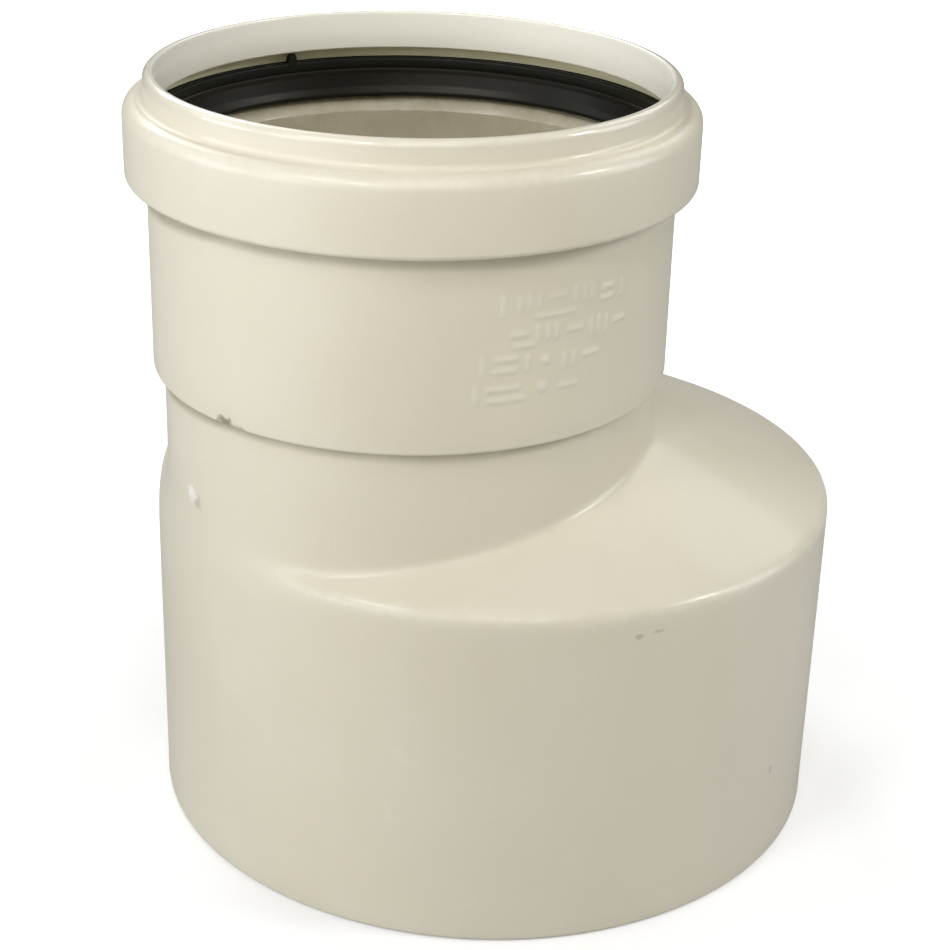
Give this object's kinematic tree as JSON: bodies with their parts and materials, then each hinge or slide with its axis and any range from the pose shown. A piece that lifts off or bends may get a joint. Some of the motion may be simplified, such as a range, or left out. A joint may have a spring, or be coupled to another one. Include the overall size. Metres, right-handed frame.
{
  "type": "eccentric reducer",
  "caption": "Eccentric push-fit drain reducer: a large plain spigot, a sloping shoulder and an offset small socket with a rubber lip seal.",
  "frame": {"origin": "centre of the spigot's end face, on the spigot axis", "axes": "+Z along the spigot axis towards the socket; the socket axis is parallel, offset 24.5 mm towards -X; the part is symmetric about the XZ plane"},
  "size_m": [0.167, 0.16, 0.1792],
  "materials": {
    "body_plastic": "glossy moulded ivory PVC-U",
    "seal_rubber": "satin black moulded rubber",
    "support_plastic": "matt black polypropylene"
  },
  "bodies": {
    "root": {"reducer_body": "body_plastic", "lip_seal": "seal_rubber", "seal_support_ring": "support_plastic"}
  },
  "joints": []
}
